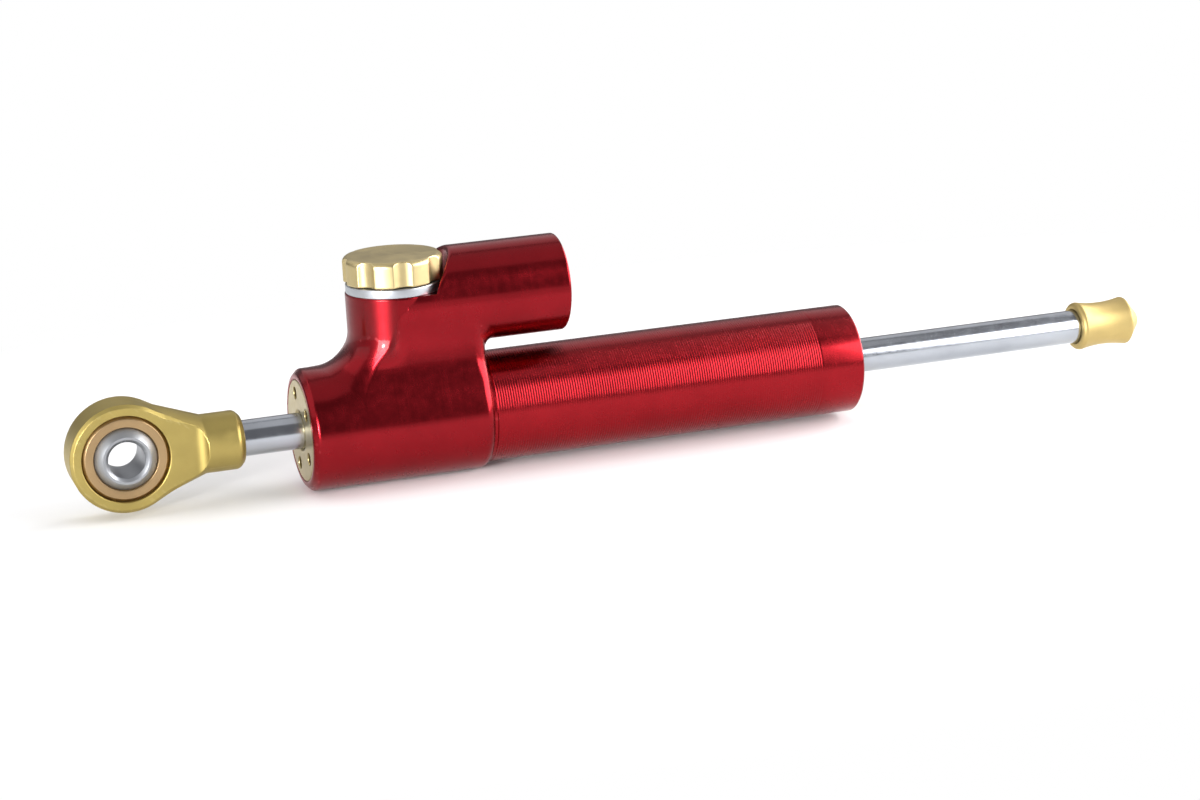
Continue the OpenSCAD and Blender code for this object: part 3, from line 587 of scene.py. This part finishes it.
def tube_profile():
    """Outline of the tube: fine turned grooves, a plain band, a chamfer and its bore."""
    start = FRONT + HEAD_LEN - BACK_ROUND
    relief = FRONT + HEAD_LEN + RELIEF_W
    stop = REAR - PLAIN_BAND
    low = TUBE_R - RELIEF_DEPTH
    points = [(start, TUBE_BORE_R), (start, low), (relief, low), (relief + RELIEF_DEPTH, TUBE_R)]
    count = int((stop - relief - RELIEF_DEPTH) / GROOVE_PITCH)
    for x in stop - GROOVE_PITCH * np.arange(count, 0, -1):
        for share, depth in ((0.0, 0.15), (0.2, 0.8), (0.4, 1.0), (0.6, 0.8), (0.8, 0.15)):
            points.append((x + share * GROOVE_PITCH, TUBE_R - depth * GROOVE_DEPTH))
    end = [
        (stop + 0.1, TUBE_R, 0),
        (REAR - TUBE_CHAMFER, TUBE_R, 0.2),
        (REAR, TUBE_R - TUBE_CHAMFER, 0.15),
        (REAR, GLAND_R, 0.1),
        (REAR - FLANGE_LEN, GLAND_R, 0),
        (REAR - FLANGE_LEN, TUBE_BORE_R, 0),
    ]
    arcs = rounded([*end, (start, TUBE_BORE_R, 0), (start, TUBE_R, 0)], 3)
    return points + [tuple(p) for p in arcs[:-2]]


tube = lathe("tube", tube_profile(), segments=224)
dress(tube, red_turned, "barrel", "red_anodised")

for name, face, way in (("front_gland", FRONT, 1), ("rear_gland", REAR, -1)):
    start, stop = sorted((face, face + way * GLAND_LEN))
    gland = skin(
        name + "_face",
        lambda x, y, z: gland_field((x - face) * way, y, z),
        (start, -GLAND_R, -GLAND_R),
        (stop, GLAND_R, GLAND_R),
        0.2,
    )
    dress(gland, gland_gold_painted_shade, "barrel", "champagne_anodised", name)

# The adjuster on the tower

knob = skin(
    "knob_lobed",
    knob_field,
    (TOWER_X - KNOB_R, -KNOB_R, KNOB_LOW),
    (TOWER_X + KNOB_R, KNOB_R, KNOB_TOP),
    0.16,
)
dress(knob, champagne, "adjuster", "champagne_anodised", "knob")

boss_low = span("detent_plate")[0][2]
plate = lathe(
    "detent_plate_turned",
    rounded(
        [
            (TOWER_TOP, PLATE_R, 0.15),
            (PLATE_TOP, PLATE_R, 0.3),
            (PLATE_TOP, PLATE_BORE_R, 0.1),
            (boss_low, PLATE_BORE_R, 0.1),
            (boss_low, PLATE_BOSS_R, 0.1),
            (TOWER_TOP, PLATE_BOSS_R, 0),
        ]
    ),
    (TOWER_X, 0, 0),
    "Z",
)
dress(plate, silver, "barrel", "satin_silver", "detent_plate")

# The rod and what is on its ends

rod = lathe(
    "rod_ground",
    rounded(
        [
            (ROD_START, 0.01, 0),
            (ROD_START, ROD_R, 0.6),
            (ROD_STOP, ROD_R, 0.6),
            (ROD_STOP, 0.01, 0),
        ]
    ),
)
dress(rod, chrome, "through_rod", "rod_chrome", "rod")

rod_end = skin(
    "rod_end_milled",
    rod_end_field,
    (EYE_X - EYE_R, -SHANK_R, -EYE_R),
    (SHANK_FACE, SHANK_R, EYE_R),
    0.2,
)
dress(rod_end, eye_gold, "through_rod", "gold_anodised", "rod_end")


def race_profile():
    """Section of the bearing race about its bore: the ball's seat inside, chamfers outside."""
    half, seat = RACE_W / 2, BALL_R + 0.03
    reach = math.asin(half / seat)
    turns = np.linspace(reach * 0.9, -reach * 0.9, 17)
    bowl = [(seat * math.sin(t), seat * math.cos(t)) for t in turns]
    mouth = seat * math.cos(reach) + 0.45
    rim = rounded(
        [
            (-half, mouth, 0.1),
            (-half, RACE_R - RACE_CHAMFER, 0.15),
            (RACE_CHAMFER - half, RACE_R, 0.15),
            (half - RACE_CHAMFER, RACE_R, 0.15),
            (half, RACE_R - RACE_CHAMFER, 0.15),
            (half, mouth, 0.1),
        ],
        3,
    )
    return bowl + [tuple(p) for p in rim]


def ball_profile():
    """Section of the bearing ball: its round outside, flat faces and chamfered bore."""
    half, bore, chamfer = BALL_W / 2, BALL_BORE_R, BALL_CHAMFER
    reach = math.asin(half / BALL_R)
    outside = [(BALL_R * math.sin(t), BALL_R * math.cos(t)) for t in np.linspace(-reach, reach, 33)]
    inside = rounded(
        [
            (half, BALL_R * math.cos(reach), 0),
            (half, bore + chamfer, 0.1),
            (half - chamfer, bore, 0.2),
            (chamfer - half, bore, 0.2),
            (-half, bore + chamfer, 0.1),
            (-half, BALL_R * math.cos(reach), 0),
        ],
        3,
    )
    return outside[1:-1] + [tuple(p) for p in inside]


race = lathe("bearing_race_turned", race_profile(), (EYE_X, 0, 0), "Y")
dress(race, bronze, "through_rod", "bearing_bronze", "bearing_race")
ball = lathe("bearing_ball_ground", ball_profile(), (EYE_X, 0, 0), "Y")
dress(ball, steel, "eye_ball", "bearing_steel", "bearing_ball")


def cap_profile():
    """Outline of the cap: a round rim, a waist, a shoulder, and a cone that ends in a dome."""
    length = CAP_END - CAP_X
    sag, half = CAP_R - CAP_WAIST_R, (CAP_SHOULDER - CAP_RIM) / 2
    big = (half**2 + sag**2) / (2 * sag)
    mid = CAP_RIM + half
    waist = [
        (mid + half * t, CAP_WAIST_R + big - math.sqrt(big**2 - (half * t) ** 2))
        for t in np.linspace(-0.97, 0.97, 25)
    ]
    back = length - CAP_DOME - CAP_SHOULDER
    tilt = math.acos(CAP_DOME / math.hypot(CAP_R, back)) - math.atan2(back, CAP_R)
    dome = [
        (length - CAP_DOME + CAP_DOME * math.sin(t), CAP_DOME * math.cos(t))
        for t in np.linspace(tilt, math.pi / 2 - 0.01, 13)
    ]
    rim = [
        (CAP_RIM - CAP_RIM * math.cos(t), CAP_R - CAP_RIM + CAP_RIM * math.sin(t))
        for t in np.linspace(0, math.pi / 2, 9)
    ]
    shoulder = [(CAP_SHOULDER - 0.15, CAP_R - 0.04), (CAP_SHOULDER + 0.1, CAP_R - 0.08)]
    bore = ROD_R + 0.02
    inside = [(CAP_BORE_DEPTH, 0.01), (CAP_BORE_DEPTH, bore), (0.35, bore), (0, ROD_R + 0.35)]
    return [(CAP_X + x, r) for x, r in inside + rim + waist + shoulder + dome]


cap = lathe("rod_cap_turned", cap_profile())
dress(cap, cap_gold, "through_rod", "gold_matt", "rod_cap")

# The reservoir's spring, which gives way to the floating piston at the joint's longer limit
coil = frame["nodes"]["reservoir_spring"].data.copy()
spring = bpy.data.objects.new("reservoir_spring_coil", coil)
bpy.context.scene.collection.objects.link(spring)
dress(spring, spring_wire, "barrel", "spring_steel", "reservoir_spring")
coil.polygons.foreach_set("use_smooth", [True] * len(coil.polygons))
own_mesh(spring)

# CAD nodes that show as they are, or stay inside
SLOT_LOOKS = {
    "red_anodised": red_milled,
    "champagne_anodised": gland_gold_painted_shade,
    "gold_anodised": eye_gold,
    "gold_matt": cap_gold,
    "satin_silver": silver,
    "bare_aluminium": bare,
    "rod_chrome": chrome,
    "bearing_steel": steel,
    "spring_steel": spring_wire,
    "bearing_bronze": bronze,
    "seal_rubber": rubber,
    "guide_polymer": polymer,
}
for part in frame["record"]["subparts"]:
    node = frame["nodes"][part["node"]]
    if not node.hide_render:
        dress(node, SLOT_LOOKS[part["material_slot"]])
        node.data.polygons.foreach_set("use_smooth", [True] * len(node.data.polygons))
        node.data.set_sharp_from_angle(angle=math.radians(30))


# Floor, light and camera

FLOOR_Z = -HEAD_R - 0.05
FLOOR_HALF = 3.0


def floor_material():
    """White floor: real shading and shadow round the object, plain white further off."""
    pale = rgba(0.86, 0.86, 0.86)
    g = Graph("floor_white", Roughness=0.9, Base_Color=pale, Specular_IOR_Level=0.1)
    where = g.place((1 / 330, 1 / 190, 0))
    away = g.add("VectorMath", {0: where}, output="Value", operation="LENGTH")
    fade = g.ramp(away, 0.0, 1.0, 0.62, 1.0, "SMOOTHSTEP")
    path = g.tree.nodes.new("ShaderNodeLightPath")
    seen = g.math("ADD", path.outputs["Is Camera Ray"], path.outputs["Is Glossy Ray"])
    seen = g.math("ADD", seen, path.outputs["Is Transmission Ray"], clamp=True)
    white = g.add("Emission", {"Color": rgba(1, 1, 1), "Strength": 1.0})
    far = g.math("MULTIPLY", seen, fade)
    blend = g.add("MixShader", {0: far, 1: g.shader.outputs[0], 2: white})
    g.tree.links.new(blend, g.tree.nodes["Material Output"].inputs["Surface"])
    return g.material


mesh = bpy.data.meshes.new("floor")
mesh.from_pydata(
    [
        (x * FLOOR_HALF, y * FLOOR_HALF, FLOOR_Z * MM)
        for x, y in ((-1, -1), (1, -1), (1, 1), (-1, 1))
    ],
    [],
    [(0, 1, 2, 3)],
)
floor = bpy.data.objects.new("floor", mesh)
bpy.context.scene.collection.objects.link(floor)
floor.data.materials.append(floor_material())


AIM = Vector((-0.03, 0, 0.01))


def softbox(name, azimuth, elevation, reach, size, glow):
    """Rectangular lamp that faces the object, as bright as glow times white.

    The azimuth runs from the front round to the right, and reach is in metres.
    """
    a, e = math.radians(azimuth), math.radians(elevation)
    way = Vector((math.sin(a) * math.cos(e), -math.cos(a) * math.cos(e), math.sin(e)))
    lamp = bpy.data.lights.new(name, "AREA")
    lamp.shape = "RECTANGLE"
    lamp.size, lamp.size_y = size
    lamp.energy = glow * 4 * size[0] * size[1]
    holder = bpy.data.objects.new(name, lamp)
    holder.location = AIM + way * reach
    holder.rotation_euler = (-way).to_track_quat("-Z", "Y").to_euler()
    holder.visible_camera = False
    bpy.context.scene.collection.objects.link(holder)


softbox("key_left", -46, 10, 1.0, (0.46, 0.36), 16)
softbox("key_core", -47, 9, 0.98, (0.08, 0.06), 180)
softbox("key_right", 56, 20, 1.0, (0.75, 0.65), 6)
softbox("side_left", -100, 36, 1.0, (0.8, 0.8), 0.8)
softbox("side_right", 98, 22, 1.0, (0.7, 0.8), 6)
softbox("overhead", 0, 88, 1.0, (1.2, 0.9), 0.4)
softbox("backdrop", 180, 42, 1.3, (2.0, 0.9), 0.5)

world = bpy.data.worlds.new("studio")
world.use_nodes = True
world.node_tree.nodes["Background"].inputs["Color"].default_value = rgba(0.2, 0.2, 0.21)
bpy.context.scene.world = world

# Camera of the photograph, found from the edges of the object
CAMERA = Vector((-217.05, -573.39, 157.30)) * MM
AZIMUTH, ELEVATION, ROLL = (math.radians(a) for a in (18.78, 14.764, 2.778))
LENS = 82.36

ahead = Vector(
    (
        math.sin(AZIMUTH) * math.cos(ELEVATION),
        math.cos(AZIMUTH) * math.cos(ELEVATION),
        -math.sin(ELEVATION),
    )
)
level = Vector((math.cos(AZIMUTH), -math.sin(AZIMUTH), 0))
upright = level.cross(ahead)
right = math.cos(ROLL) * level - math.sin(ROLL) * upright
up = math.sin(ROLL) * level + math.cos(ROLL) * upright
lens = bpy.data.cameras.new("camera")
lens.sensor_width = 36
lens.lens = LENS
lens.clip_start, lens.clip_end = 0.01, 20
camera = bpy.data.objects.new("camera", lens)
turn = Matrix((right, up, -ahead)).transposed().to_4x4()
camera.matrix_world = Matrix.Translation(CAMERA) @ turn
bpy.context.scene.collection.objects.link(camera)
bpy.context.scene.camera = camera
bpy.context.scene.view_settings.view_transform = "Standard"

bpy.context.view_layer.update()
